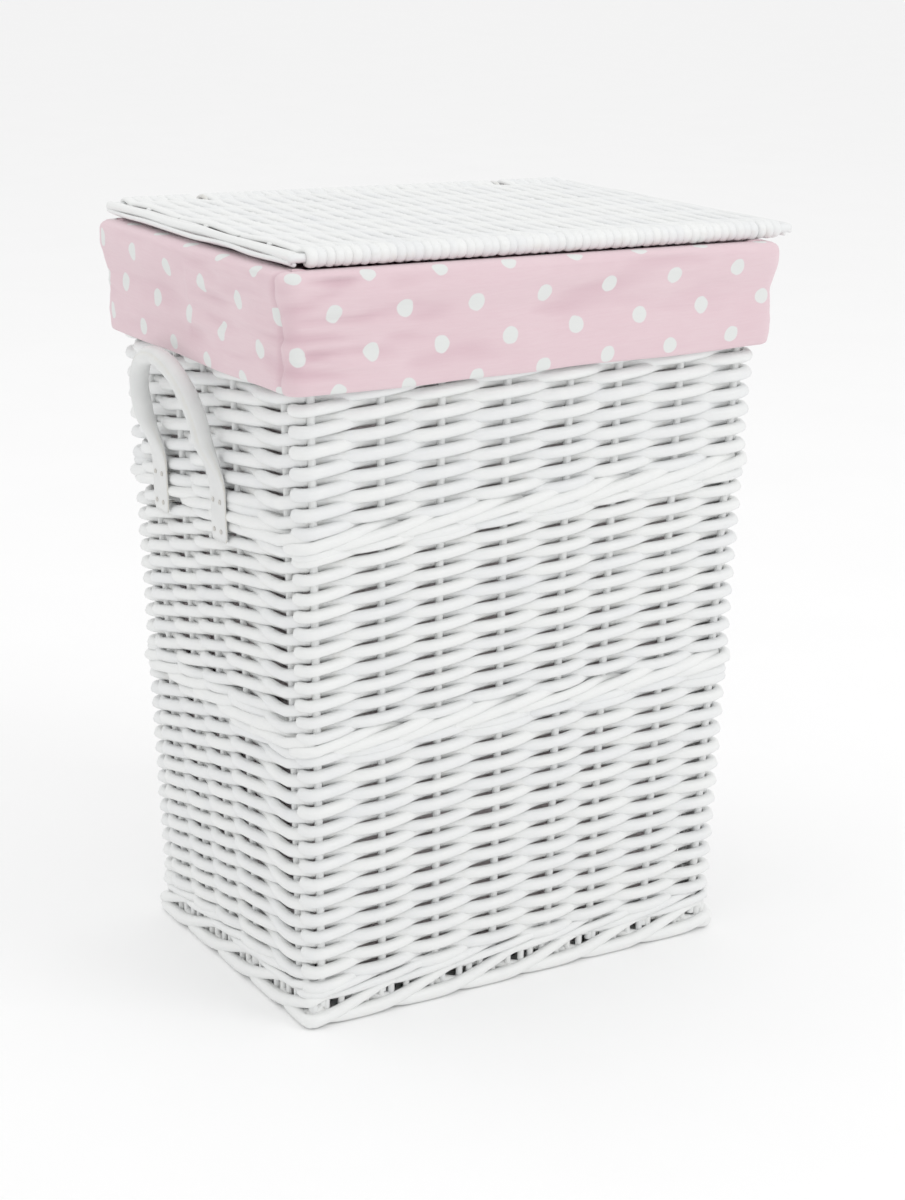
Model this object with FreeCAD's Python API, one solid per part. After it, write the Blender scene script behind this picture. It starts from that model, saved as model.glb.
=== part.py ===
import FreeCAD, Part
import math
import os

os.makedirs("parts", exist_ok=True)
V = FreeCAD.Vector

# Woven laundry basket with a cloth liner, two soft handles and a hinged lid.
# All lengths are in millimetres. +X is to the right along the long front wall, +Y is towards
# the back, +Z is up. While it is drawn, the basket's own centre line is the Z axis. When a piece
# is saved it is moved so that the origin is the bottom centre of the whole object's box.

# ---- driving dimensions ----------------------------------------------------------------------
# basket
rim_height = 500.0          # floor to the top of the folded cuff
foot_width = 332.0          # outer size of the wicker at the floor
foot_depth = 236.0
mouth_width = 360.0         # outer size of the wicker at the rim height
mouth_depth = 272.0
stake_diameter = 5.3        # upright stakes
weaver_thickness = 5.8      # one layer of rods in front of the stakes, or behind them
wicker_gap = 0.25           # between neighbouring wicker pieces
corner_cut = 10.2           # cut off the wicker's upright corners, in plan

# positions of the stakes along a wall, as a share of the wall's half length
long_wall_stakes = (-0.96, -0.67, -0.41, -0.12, 0.165, 0.39, 0.685, 0.955)
short_wall_stakes = (-0.83, -0.26, 0.09, 0.43, 0.78)

# bands of the wall
foot_border_height = 12.4
foot_border_width = 22.0    # in plan
border_edge_radius = 4.0
base_wale_height = 18.0
wale_height = 18.0
lower_wale_level = 191.0    # floor to the bottom of the lower wale
upper_wale_drop = 153.0     # rim height down to the top of the upper wale
rim_border_height = 20.3
rim_border_drop = 2.7       # rim height down to the top of the rim border

# bottom panel
base_stick_diameter = 6.6
base_stick_count = 5
base_weaver_thickness = 4.5
base_stick_inset = 12.0     # from the panel's long edge to the first stick

# liner
cloth_thickness = 1.5
cloth_gap = 0.4
cuff_depth = 68.0           # how far the cuff hangs down outside
cuff_stand_off_hem = 2.9    # from the wicker to the outside of the cuff, at the hem
cuff_stand_off_ends = 6.8   # the same at the top of the two short walls
cuff_stand_off_front = 3.3  # the same at the top of the two long walls
cuff_corner_radius = 16.0
bag_corner_radius = 10.0

# handles
tab_width_top = 26.0
tab_width_bottom = 21.0
tab_length = 48.0
tab_thickness = 2.2
tab_drop = 184.0            # rim height down to the lower end of the tabs
handle_spacing = 90.0       # between the two legs of a loop
handle_shift = 23.0         # the loop sits behind the middle of its wall
loop_diameter = 13.5
loop_leg = 25.0             # straight part of each leg
loop_lean = 7.8             # degrees, outwards from upright
handle_gap = 0.5            # between the loop and the wicker or the tabs
tack_diameter = 1.5
tack_head_diameter = 3.2
tack_head_height = 0.8
tack_depth = 5.0            # into the wicker
tack_columns = 10.0         # spacing across the tab
tack_rows = 20.0            # spacing along the tab
tack_from_end = 7.0         # from the lower end of the tab to the first row

# lid
lid_overhang_width = 4.0    # past the cuff at each end, before the lid is shifted
lid_overhang_depth = 1.4
lid_shift_right = 13.0      # the lid lies a little to the right and to the back
lid_shift_back = 9.0
lid_thickness = 13.2
lid_rod_diameter = 5.6      # front and back frame rods
lid_stick_diameter = 5.2
lid_stick_count = 5
lid_rod_gap = 0.15
lid_rest_gap = 0.35         # between the cuff and the lid
lid_end_rod_diameter = 5.6
lid_end_rod_count = 2       # rods side by side at each end
lid_end_rod_pitch = 6.2

# hinge rings
ring_radius = 11.0          # to the centre of the cane
ring_cane_diameter = 3.5
ring_offset = 120.0         # from the middle of the lid to each ring
ring_drop = 4.5             # the ring's centre lies below the lid's back rod
ring_inset = 3.6            # and in front of it
ring_notch_clearance = 1.0  # each side of the cane, in the lid's weave
ring_hole_clearance = 0.15

# ---- sizes that follow -------------------------------------------------------------------------
skin_near = stake_diameter / 2 + wicker_gap
skin_far = skin_near + weaver_thickness
rim_border_top = rim_height - rim_border_drop
rim_border_bottom = rim_border_top - rim_border_height
wall_bottom = foot_border_height + wicker_gap
wall_top = rim_border_bottom
stake_bottom = wall_bottom + wicker_gap     # a leaning stake's end dips a little
stake_top = wall_top - 2 * wicker_gap
base_wale_top = wall_bottom + base_wale_height
upper_wale_top = rim_height - upper_wale_drop
upper_wale_bottom = upper_wale_top - wale_height
lower_wale_top = lower_wale_level + wale_height


def wicker_half(z, offset):
    """Half width and half depth of the surface that lies offset outside the stakes' centres."""
    share = z / rim_height
    half_x = (foot_width + (mouth_width - foot_width) * share) / 2 - skin_far + offset
    half_y = (foot_depth + (mouth_depth - foot_depth) * share) / 2 - skin_far + offset
    return half_x, half_y


def cuff_half(z, inside):
    """Half width and half depth of the cuff's outer surface, taken in by inside."""
    share = (z - (rim_height - cuff_depth)) / cuff_depth
    half_x, half_y = wicker_half(z, skin_far)
    half_x += cuff_stand_off_hem + (cuff_stand_off_ends - cuff_stand_off_hem) * share - inside
    half_y += cuff_stand_off_hem + (cuff_stand_off_front - cuff_stand_off_hem) * share - inside
    return half_x, half_y


cuff_top_half = cuff_half(rim_height, 0)
lid_half_width = cuff_top_half[0] + lid_overhang_width
lid_half_depth = cuff_top_half[1] + lid_overhang_depth
lid_middle_z = rim_height + lid_rest_gap + lid_thickness / 2
lid_rod_offset = lid_half_depth - lid_thickness / 2
lid_back_rod_y = lid_shift_back + lid_rod_offset
ring_centre_y = lid_back_rod_y - ring_inset
ring_centre_z = lid_middle_z - ring_drop

tab_bottom = rim_height - tab_drop
tab_top = tab_bottom + tab_length
loop_bottom = tab_top + handle_gap
loop_hinge_x = wicker_half(tab_top, skin_far)[0] + handle_gap + loop_diameter / 2
loop_height = loop_leg + handle_spacing / 2
loop_reach = (loop_hinge_x + loop_height * math.sin(math.radians(loop_lean))
              + loop_diameter / 2)

# the move that puts the origin at the bottom centre of the object's box
right_reach = max(loop_reach, lid_half_width + lid_shift_right)
back_reach = ring_centre_y + ring_radius + ring_cane_diameter / 2
to_origin = V((loop_reach - right_reach) / 2, (cuff_top_half[1] - back_reach) / 2, 0)


# ---- drawing helpers ---------------------------------------------------------------------------
def save(node, solids):
    """Moves the solids of one node to the object's frame and writes them."""
    shape = Part.makeCompound(solids) if len(solids) > 1 else solids[0].copy()
    shape.translate(to_origin)
    shape.exportStep("parts/" + node + ".step")


def block(low, high):
    """A solid with six flat faces between a lower and an upper outline of four points."""
    count = len(low)
    turn = sum(low[i - 1].x * low[i].y - low[i].x * low[i - 1].y for i in range(count))
    if turn < 0:            # the outlines have to run anticlockwise, seen from above
        low, high = low[::-1], high[::-1]
    outlines = [low[::-1], high]
    for i in range(count):
        k = (i + 1) % count
        outlines.append([low[i], low[k], high[k], high[i]])
    faces = [Part.Face(Part.makePolygon(points + [points[0]])) for points in outlines]
    return Part.Solid(Part.Shell(faces))


def rod(start, end, diameter):
    """A straight round rod between two points."""
    run = end - start
    return Part.makeCylinder(diameter / 2, run.Length, start, run)


def rounded_outline(half_x, half_y, radius, z):
    """A rectangle with rounded corners, as a closed wire at height z."""
    side = math.sqrt(0.5) * radius
    edges = []
    centres = ((1, 1), (-1, 1), (-1, -1), (1, -1))
    for i, (sx, sy) in enumerate(centres):
        centre = V(sx * (half_x - radius), sy * (half_y - radius), z)
        along_x = centre + V(sx * radius, 0, 0)
        along_y = centre + V(0, sy * radius, 0)
        middle = centre + V(sx * side, sy * side, 0)
        first, last = (along_x, along_y) if i % 2 == 0 else (along_y, along_x)
        edges.append(Part.Arc(first, middle, last).toShape())
    for i in range(4):
        gap = Part.makeLine(edges[i].Vertexes[-1].Point, edges[(i + 1) % 4].Vertexes[0].Point)
        edges.append(gap)
    return Part.Wire(Part.__sortEdges__(edges))


def tapered_prism(half_low, half_high, radius, z_low, z_high):
    """A solid with straight sides between two rounded rectangles."""
    low = rounded_outline(half_low[0], half_low[1], radius, z_low)
    high = rounded_outline(half_high[0], half_high[1], radius, z_high)
    return Part.makeLoft([low, high], True, True)


# ---- walls -------------------------------------------------------------------------------------
def long_wall_quad(z, near, far, cut, side):
    """Cross-section, at height z, of a layer of the front (side -1) or back (side 1) wall."""
    far_x, far_y = wicker_half(z, far)
    reach_far = far_x - cut
    reach_near = min(reach_far + far - near, far_x)
    y_near = side * wicker_half(z, near)[1]
    y_far = side * far_y
    return [V(-reach_near, y_near, z), V(reach_near, y_near, z),
            V(reach_far, y_far, z), V(-reach_far, y_far, z)]


def short_wall_quad(z, near, far, cut, side):
    """Cross-section, at height z, of a layer of the left (side -1) or right (side 1) wall."""
    far_x, far_y = wicker_half(z, far)
    reach_near = wicker_half(z, near)[1] - wicker_gap
    reach_far = min(reach_near, far_y - cut)
    x_near = side * wicker_half(z, near)[0]
    x_far = side * far_x
    return [V(x_near, -reach_near, z), V(x_near, reach_near, z),
            V(x_far, reach_far, z), V(x_far, -reach_far, z)]


def wall_band(z_low, z_high):
    """The layers in front of the stakes and behind them, on all four walls."""
    solids = []
    for near, far, cut in ((skin_near, skin_far, corner_cut), (-skin_far, -skin_near, 0)):
        for quad in (long_wall_quad, short_wall_quad):
            for side in (-1, 1):
                low = quad(z_low, near, far, cut, side)
                high = quad(z_high, near, far, cut, side)
                solids.append(block(low, high))
    return solids


def border_bar(outline, z_low, z_high, axis):
    """A bar over an outline of four points, rounded along its length."""
    bar = block([V(x, y, z_low) for x, y in outline], [V(x, y, z_high) for x, y in outline])
    long_edges = []
    for edge in bar.Edges:
        run = edge.Vertexes[1].Point - edge.Vertexes[0].Point
        if abs(run.dot(axis)) > 0.99 * run.Length:
            long_edges.append(edge)
    return bar.makeFillet(border_edge_radius, long_edges)


def border(z_low, z_high, inner, outer):
    """A border of four bars. inner and outer are the half sizes of its two outlines."""
    bars = []
    for side in (-1, 1):
        y_near, y_far = side * inner[1], side * outer[1]
        reach = outer[0] - corner_cut
        outline = ((-outer[0], y_near), (outer[0], y_near), (reach, y_far), (-reach, y_far))
        bars.append(border_bar(outline, z_low, z_high, V(1, 0, 0)))
    reach = inner[1] - wicker_gap
    for side in (-1, 1):
        x_near, x_far = side * inner[0], side * outer[0]
        outline = ((x_near, -reach), (x_near, reach), (x_far, reach), (x_far, -reach))
        bars.append(border_bar(outline, z_low, z_high, V(0, 1, 0)))
    return bars


def long_wall_stake(share, side):
    """One upright stake of the front or back wall, leaning with the wall."""
    low = wicker_half(stake_bottom, 0)
    high = wicker_half(stake_top, 0)
    return rod(V(share * low[0], side * low[1], stake_bottom),
               V(share * high[0], side * high[1], stake_top), stake_diameter)


def short_wall_stake(share, side):
    """One upright stake of the left or right wall."""
    low = wicker_half(stake_bottom, 0)
    high = wicker_half(stake_top, 0)
    return rod(V(side * low[0], share * low[1], stake_bottom),
               V(side * high[0], share * high[1], stake_top), stake_diameter)


def make_walls():
    walls = {"stakes_front": (long_wall_stake, long_wall_stakes, -1),
             "stakes_back": (long_wall_stake, long_wall_stakes[::-1], 1),
             "stakes_left": (short_wall_stake, short_wall_stakes, -1),
             "stakes_right": (short_wall_stake, short_wall_stakes, 1)}
    for node, (make_stake, shares, side) in walls.items():
        # the back and right walls mirror the front and left ones about the basket's centre
        turned = -1 if side == 1 else 1
        save(node, [make_stake(turned * share, side) for share in shares])
    bands = {"wale_base": (wall_bottom, base_wale_top),
             "weave_lower": (base_wale_top, lower_wale_level),
             "wale_lower": (lower_wale_level, lower_wale_top),
             "weave_middle": (lower_wale_top, upper_wale_bottom),
             "wale_upper": (upper_wale_bottom, upper_wale_top),
             "weave_upper": (upper_wale_top, wall_top)}
    for node, (z_low, z_high) in bands.items():
        save(node, wall_band(z_low, z_high - wicker_gap))


def make_borders():
    foot_outer = (foot_width / 2, foot_depth / 2)
    foot_inner = (foot_outer[0] - foot_border_width, foot_outer[1] - foot_border_width)
    save("foot_border", border(0, foot_border_height, foot_inner, foot_outer))

    rim_inner = wicker_half(rim_border_top, -skin_far)
    rim_outer = cuff_half(rim_border_bottom, cloth_thickness + cloth_gap)
    bars = border(rim_border_bottom, rim_border_top, rim_inner, rim_outer)
    hole = hinge_ring_pair(ring_hole_clearance)
    save("rim_border", [bar.cut(hole) for bar in bars])


def make_base():
    stick_low = foot_border_height + wicker_gap
    stick_z = stick_low + base_stick_diameter / 2
    upper_z = stick_low + base_stick_diameter + wicker_gap
    lower_z = stick_low - wicker_gap - base_weaver_thickness
    upper_x, upper_y = wicker_half(upper_z, -skin_far - wicker_gap)
    lower_x = foot_width / 2 - foot_border_width - wicker_gap
    lower_y = foot_depth / 2 - foot_border_width - wicker_gap
    upper = Part.makeBox(2 * upper_x, 2 * upper_y, base_weaver_thickness, V(-upper_x, -upper_y, upper_z))
    lower = Part.makeBox(2 * lower_x, 2 * lower_y, base_weaver_thickness, V(-lower_x, -lower_y, lower_z))
    save("base_weave", [lower, upper])

    stick_x = wicker_half(stick_low, -skin_far - wicker_gap)[0]
    first = lower_y - base_stick_inset
    pitch = 2 * first / (base_stick_count - 1)
    sticks = []
    for i in range(base_stick_count):
        y = -first + i * pitch
        sticks.append(rod(V(-stick_x, y, stick_z), V(stick_x, y, stick_z), base_stick_diameter))
    save("base_sticks", sticks)
    return upper_z + base_weaver_thickness


# ---- liner -------------------------------------------------------------------------------------
def bag_half(z, inside):
    """Half width and half depth of the bag's outer surface, taken in by inside."""
    return wicker_half(z, -skin_far - cloth_gap - inside)


def make_liner(floor_z):
    hole = hinge_ring_pair(2 * ring_hole_clearance)
    fold_z = rim_border_top + cloth_gap
    bag_low = floor_z + cloth_gap
    bag = tapered_prism(bag_half(bag_low, 0), bag_half(fold_z, 0), bag_corner_radius, bag_low, fold_z)
    hollow_low = bag_low + cloth_thickness
    hollow = tapered_prism(bag_half(hollow_low, cloth_thickness), bag_half(rim_height, cloth_thickness),
                           bag_corner_radius - cloth_thickness, hollow_low, rim_height)
    save("liner_bag", [bag.cut(hollow)])

    hem_z = rim_height - cuff_depth
    cuff = tapered_prism(cuff_half(hem_z, 0), cuff_half(rim_height, 0), cuff_corner_radius, hem_z, rim_height)
    inside = tapered_prism(cuff_half(hem_z, cloth_thickness), cuff_half(fold_z, cloth_thickness),
                           cuff_corner_radius - cloth_thickness, hem_z, fold_z)
    save("liner_cuff", [cuff.cut(inside).cut(hollow).cut(hole)])


# ---- handles -----------------------------------------------------------------------------------
def tab_quad(z, width, y, side):
    """Cross-section of a tab at height z, lying on the wicker."""
    x_near = side * (wicker_half(z, skin_far)[0] + cloth_gap)
    x_far = x_near + side * tab_thickness
    return [V(x_near, y - width / 2, z), V(x_far, y - width / 2, z),
            V(x_far, y + width / 2, z), V(x_near, y + width / 2, z)]


def tack(z, y, side):
    """One tack, with its head on the tab and its pin in the wicker."""
    x_head = wicker_half(z, skin_far)[0] + cloth_gap + tab_thickness
    outward = V(side, 0, 0)
    head = Part.makeCylinder(tack_head_diameter / 2, tack_head_height, V(side * x_head, y, z), outward)
    length = tab_thickness + cloth_gap + tack_depth
    pin = Part.makeCylinder(tack_diameter / 2, length, V(side * (x_head - length), y, z), outward)
    return head.fuse(pin)


def handle_loop(side):
    """The rolled loop: two straight legs and a half circle, leaning outwards."""
    half = handle_spacing / 2
    legs = [rod(V(0, y, 0), V(0, y, loop_leg), loop_diameter) for y in (-half, half)]
    section = Part.Face(Part.Wire(Part.makeCircle(loop_diameter / 2, V(0, -half, loop_leg), V(0, 0, 1))))
    arch = section.revolve(V(0, 0, loop_leg), V(-1, 0, 0), 180)
    loop = legs[0].fuse([legs[1], arch]).removeSplitter()
    loop.rotate(V(0, 0, 0), V(0, 1, 0), side * loop_lean)
    loop.translate(V(side * loop_hinge_x, handle_shift, loop_bottom))
    return loop


def make_handles():
    for name, side in (("left", -1), ("right", 1)):
        tabs = []
        tacks = []
        for leg in (-1, 1):
            y = handle_shift + leg * handle_spacing / 2
            tabs.append(block(tab_quad(tab_bottom, tab_width_bottom, y, side),
                              tab_quad(tab_top, tab_width_top, y, side)))
            for row in range(2):
                for column in (-1, 1):
                    z = tab_bottom + tack_from_end + row * tack_rows
                    tacks.append(tack(z, y + column * tack_columns / 2, side))
        save("handle_tabs_" + name, tabs)
        save("handle_tacks_" + name, tacks)
        save("handle_loop_" + name, [handle_loop(side)])


# ---- lid ---------------------------------------------------------------------------------------
def stadium(radius, x, length):
    """A flat bar with round front and back edges, centred on the lid, starting at x."""
    reach = lid_rod_offset
    y_front = lid_shift_back - reach
    y_back = lid_shift_back + reach
    z = lid_middle_z
    edges = [Part.makeLine(V(x, y_front, z + radius), V(x, y_back, z + radius)),
             Part.Arc(V(x, y_back, z + radius), V(x, y_back + radius, z), V(x, y_back, z - radius)).toShape(),
             Part.makeLine(V(x, y_back, z - radius), V(x, y_front, z - radius)),
             Part.Arc(V(x, y_front, z - radius), V(x, y_front - radius, z), V(x, y_front, z + radius)).toShape()]
    return Part.Face(Part.Wire(edges)).extrude(V(length, 0, 0))


def make_lid():
    left = lid_shift_right - lid_half_width
    right = lid_shift_right + lid_half_width
    ends_width = lid_end_rod_count * lid_end_rod_pitch
    panel_left = left + ends_width
    panel_right = right - ends_width
    weaver_inside = lid_rod_diameter / 2 + lid_rod_gap

    sleeve = stadium(lid_thickness / 2, panel_left, panel_right - panel_left)
    sleeve = sleeve.cut(stadium(weaver_inside, panel_left, panel_right - panel_left))
    notch_reach = math.hypot(ring_drop, ring_inset) + ring_radius + ring_cane_diameter / 2
    notch_reach += ring_notch_clearance
    notch_width = ring_cane_diameter + 2 * ring_notch_clearance
    for x in hinge_ring_places():
        notch = Part.makeBox(notch_width, 2 * notch_reach, 2 * lid_thickness,
                             V(x - notch_width / 2, lid_back_rod_y - notch_reach, lid_middle_z - lid_thickness))
        sleeve = sleeve.cut(notch)
    save("lid_weave", [sleeve])

    for name, side in (("front", -1), ("back", 1)):
        y = lid_shift_back + side * lid_rod_offset
        save("lid_rod_" + name, [rod(V(left, y, lid_middle_z), V(right, y, lid_middle_z), lid_rod_diameter)])

    sticks = []
    pitch = 2 * lid_rod_offset / (lid_stick_count + 1)
    for i in range(lid_stick_count):
        y = lid_shift_back - lid_rod_offset + (i + 1) * pitch
        sticks.append(rod(V(panel_left, y, lid_middle_z), V(panel_right, y, lid_middle_z), lid_stick_diameter))
    save("lid_sticks", sticks)

    reach = lid_rod_offset - lid_rod_diameter / 2 - lid_rod_gap
    for name, side, edge in (("left", 1, left), ("right", -1, right)):
        rods = []
        for i in range(lid_end_rod_count):
            x = edge + side * (lid_end_rod_diameter / 2 + i * lid_end_rod_pitch)
            rods.append(rod(V(x, lid_shift_back - reach, lid_middle_z),
                            V(x, lid_shift_back + reach, lid_middle_z), lid_end_rod_diameter))
        save("lid_end_rods_" + name, rods)


# ---- hinge rings -------------------------------------------------------------------------------
def hinge_ring_places():
    return (lid_shift_right - ring_offset, lid_shift_right + ring_offset)


def hinge_ring(x, clearance):
    """A ring of cane in an upright plane, round the lid's back rod and through the rim border."""
    return Part.makeTorus(ring_radius, ring_cane_diameter / 2 + clearance,
                          V(x, ring_centre_y, ring_centre_z), V(1, 0, 0))


def hinge_ring_pair(clearance):
    rings = [hinge_ring(x, clearance) for x in hinge_ring_places()]
    return Part.makeCompound(rings)


def make_hinge_rings():
    for name, x in zip(("left", "right"), hinge_ring_places()):
        save("hinge_ring_" + name, [hinge_ring(x, 0)])


make_walls()
make_borders()
panel_top = make_base()
make_liner(panel_top)
make_handles()
make_lid()
make_hinge_rings()
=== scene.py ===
import math

import bpy
import numpy as np
from mathutils import Matrix, Vector, noise


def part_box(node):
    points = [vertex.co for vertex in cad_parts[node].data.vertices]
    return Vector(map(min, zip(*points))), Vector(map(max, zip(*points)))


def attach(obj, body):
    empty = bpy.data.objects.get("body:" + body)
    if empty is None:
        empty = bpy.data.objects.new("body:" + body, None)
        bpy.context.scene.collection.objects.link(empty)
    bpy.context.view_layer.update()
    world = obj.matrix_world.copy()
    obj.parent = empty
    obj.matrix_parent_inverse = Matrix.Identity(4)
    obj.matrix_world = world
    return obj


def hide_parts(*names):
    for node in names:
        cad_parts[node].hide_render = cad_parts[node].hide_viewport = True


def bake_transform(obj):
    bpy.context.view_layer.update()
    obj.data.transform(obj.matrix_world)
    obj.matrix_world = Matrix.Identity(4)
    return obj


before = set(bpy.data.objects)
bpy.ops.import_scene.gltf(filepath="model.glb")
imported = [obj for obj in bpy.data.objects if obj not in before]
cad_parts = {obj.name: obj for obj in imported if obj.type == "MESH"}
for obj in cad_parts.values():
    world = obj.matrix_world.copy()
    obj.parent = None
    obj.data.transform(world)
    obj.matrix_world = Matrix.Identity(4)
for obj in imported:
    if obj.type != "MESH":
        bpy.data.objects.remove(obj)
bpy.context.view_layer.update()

# The looks of a woven laundry basket: rods woven round the CAD stakes, a cloth liner folded over
# the rim, two strap handles and a woven lid. Lengths are in millimetres from the basket's centre
# line, and turn into metres in the row frame where a mesh is made.
MM = 0.001
rng = np.random.default_rng(11)

# ---- sizes -------------------------------------------------------------------------------------
foot_low, foot_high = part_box("foot_border")
centre_line = (foot_low + foot_high) / 2
centre_line.z = 0


def node_box(node):
    """Lowest and highest corner of a CAD node, in millimetres from the basket's centre line."""
    low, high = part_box(node)
    return np.array(low - centre_line) / MM, np.array(high - centre_line) / MM


wall_skin = 8.7             # stake centres to the outside of the weave
stake_radius = 2.65
corner_bend = 4.5           # radius of the stakes' line at a corner, in plan
foot_half = node_box("foot_border")[1][:2]
weave_top = node_box("weave_upper")[1]
wall_lean = (weave_top[:2] - foot_half) / weave_top[2]

# stakes along a wall, as a share of the wall's half length, in the order a weaver meets them
long_wall_stakes = (-0.96, -0.67, -0.41, -0.12, 0.165, 0.39, 0.685, 0.955)
short_wall_stakes = (-0.78, -0.43, -0.09, 0.26, 0.83)
stake_count = 2 * (len(long_wall_stakes) + len(short_wall_stakes))

# corners between the walls, counted in stakes from the front wall's first one
corner_front_left = -0.4
corner_front_right = 7.4
corner_back_right = 12.5
corner_back_left = 20.5

# how far the rows climb at the corners, at the height where they climb most
climb_at = (corner_front_left, corner_front_right, corner_back_right, corner_back_left,
            corner_front_left + stake_count, corner_front_right + stake_count)
climb_rise = (-3.0, 12.0, 3.0, -6.0, -3.0, 12.0)
climb_levels = (0, 40, 200, 338, 430, 475)
climb_share = (0, 0.1, 0.62, 1.0, 0.55, 0)
# rows of plain weave drop further than that round the back, and rise again along the left wall
row_rise = (0.0, 0.0, -10.0, -22.0, 0.0, 0.0)
row_rise_share = (0, 0.15, 0.9, 1.0, 0.85, 0.8)
pass_tilt = (0.9, 0.4, 0.4, 1.3, 0.9, 0.4)     # how far a rod tilts up as it passes a stake

SIDES = 10                  # faces round a rod


def wall_half(z):
    """Half width and half depth of the surface that the stakes' centres lie on."""
    return foot_half + wall_lean * z - wall_skin


def loop_length(half, radius):
    return 4 * (half[0] + half[1] - 2 * radius) + 2 * math.pi * radius


def loop_point(arc, half, radius):
    """Points on a rounded rectangle, anticlockwise from the front wall's left end, and the
    outward directions there."""
    straight = (2 * (half[0] - radius), 2 * (half[1] - radius))
    bend = math.pi * radius / 2
    lengths = np.array([straight[0], bend, straight[1], bend] * 2)
    starts = np.concatenate([[0], np.cumsum(lengths)])
    arc = np.mod(arc, starts[-1])
    piece = np.clip(np.searchsorted(starts, arc, side="right") - 1, 0, 7)
    along = arc - starts[piece]
    side = piece // 2
    on_bend = piece % 2 == 1
    angle = math.pi / 2 * (side - 1) + np.where(on_bend, along / radius, 0)
    outward = np.stack([np.cos(angle), np.sin(angle)], -1)
    heading = np.stack([-outward[:, 1], outward[:, 0]], -1)
    bend_centre = np.stack([np.where(side < 2, 1, -1) * (half[0] - radius),
                            np.where((side == 1) | (side == 2), 1, -1) * (half[1] - radius)], -1)
    before_bend = np.where(on_bend, 0, lengths[piece] - along)
    points = bend_centre + radius * outward - heading * before_bend[:, None]
    return points, outward


def stake_arcs(half):
    """Arc lengths of the stakes on the line through their centres."""
    bend = math.pi * corner_bend / 2
    arcs = []
    start = 0
    for shares, size in ((long_wall_stakes, half[0]), (short_wall_stakes, half[1])) * 2:
        straight = size - corner_bend
        arcs += [start + straight + share * size for share in shares]
        start += 2 * straight + bend
    return np.array(arcs)


def wall_path(u, z, offset):
    """Points round the walls. u counts stakes, and offset is outwards from their centres."""
    level = float(np.mean(z))
    half = wall_half(level)
    total = loop_length(half, corner_bend)
    arcs = stake_arcs(half)
    knots = np.concatenate([[arcs[-1] - total], arcs, [arcs[0] + total]])
    arc = np.interp(np.mod(u, stake_count), np.arange(-1, stake_count + 1), knots)
    points, outward = loop_point(arc, half, corner_bend)
    points = points + outward * (offset[:, None] + wall_lean * (z - level)[:, None])
    return np.column_stack([points, z])


def climb(u, z):
    """How far a wale stands above or below its level at stake u."""
    place = np.mod(u - corner_front_left, stake_count) + corner_front_left
    return np.interp(place, climb_at, climb_rise) * np.interp(z, climb_levels, climb_share)


def row_climb(u, z):
    """How far a row of plain weave stands above or below its level at stake u."""
    place = np.mod(u - corner_front_left, stake_count) + corner_front_left
    share = np.interp(z, climb_levels, row_rise_share)
    return climb(u, z) + np.interp(place, climb_at, row_rise) * share


def wander(u, period, amplitude, slow=2, fast=9):
    """A smooth seeded wander that repeats after a period."""
    total = np.zeros(len(u))
    for k in range(slow, fast):
        total += rng.normal() * np.sin(2 * math.pi * (k * u / period + rng.random()))
    return amplitude * total / math.sqrt(fast - slow)


def smooth_round(values, width):
    """A closed row of values, averaged over a width of samples."""
    kernel = np.hanning(width + 2)[1:-1]
    kernel /= kernel.sum()
    half = width // 2
    padded = np.concatenate([values[-half:], values, values[:half]])
    return np.convolve(padded, kernel, mode="valid")[:len(values)]


def through(keys, step):
    """Points about step apart on a smooth curve through the keys."""
    keys = np.array(keys, float)
    ends = np.vstack([2 * keys[0] - keys[1], keys, 2 * keys[-1] - keys[-2]])
    out = []
    for i in range(len(keys) - 1):
        a, b, c, d = ends[i:i + 4]
        count = max(2, int(np.linalg.norm(c - b) / step))
        t = (np.arange(count) / count)[:, None]
        out.append(0.5 * (2 * b + (c - a) * t + (2 * a - 5 * b + 4 * c - d) * t ** 2
                          + (3 * b - a - 3 * c + d) * t ** 3))
    out.append(keys[-1:])
    return np.vstack(out)


lid_right = node_box("lid_rod_front")[1][0]
lid_left_rise = 8.0         # how much higher the lid stands at its left end


def lid_rise(x):
    """How much higher the lid and the cuff's top stand at x than at their right end."""
    return lid_left_rise * (lid_right - np.asarray(x)) / (2 * lid_right)


# ---- meshes ------------------------------------------------------------------------------------
def new_mesh_object(name, points, faces, grain):
    """A smooth mesh in the row frame. grain holds one pair of UV coordinates per face corner."""
    mesh = bpy.data.meshes.new(name)
    mesh.from_pydata((np.array(points) * MM + np.array(centre_line)).tolist(), [], faces)
    layer = mesh.uv_layers.new(name="Grain")
    layer.data.foreach_set("uv", np.array(grain, np.float32).ravel())
    mesh.polygons.foreach_set("use_smooth", [True] * len(mesh.polygons))
    obj = bpy.data.objects.new(name, mesh)
    bpy.context.scene.collection.objects.link(obj)
    return obj


def put_attribute(obj, name, values):
    attribute = obj.data.attributes.new(name, "FLOAT", "POINT")
    attribute.data.foreach_set("value", np.array(values, np.float32))


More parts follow.
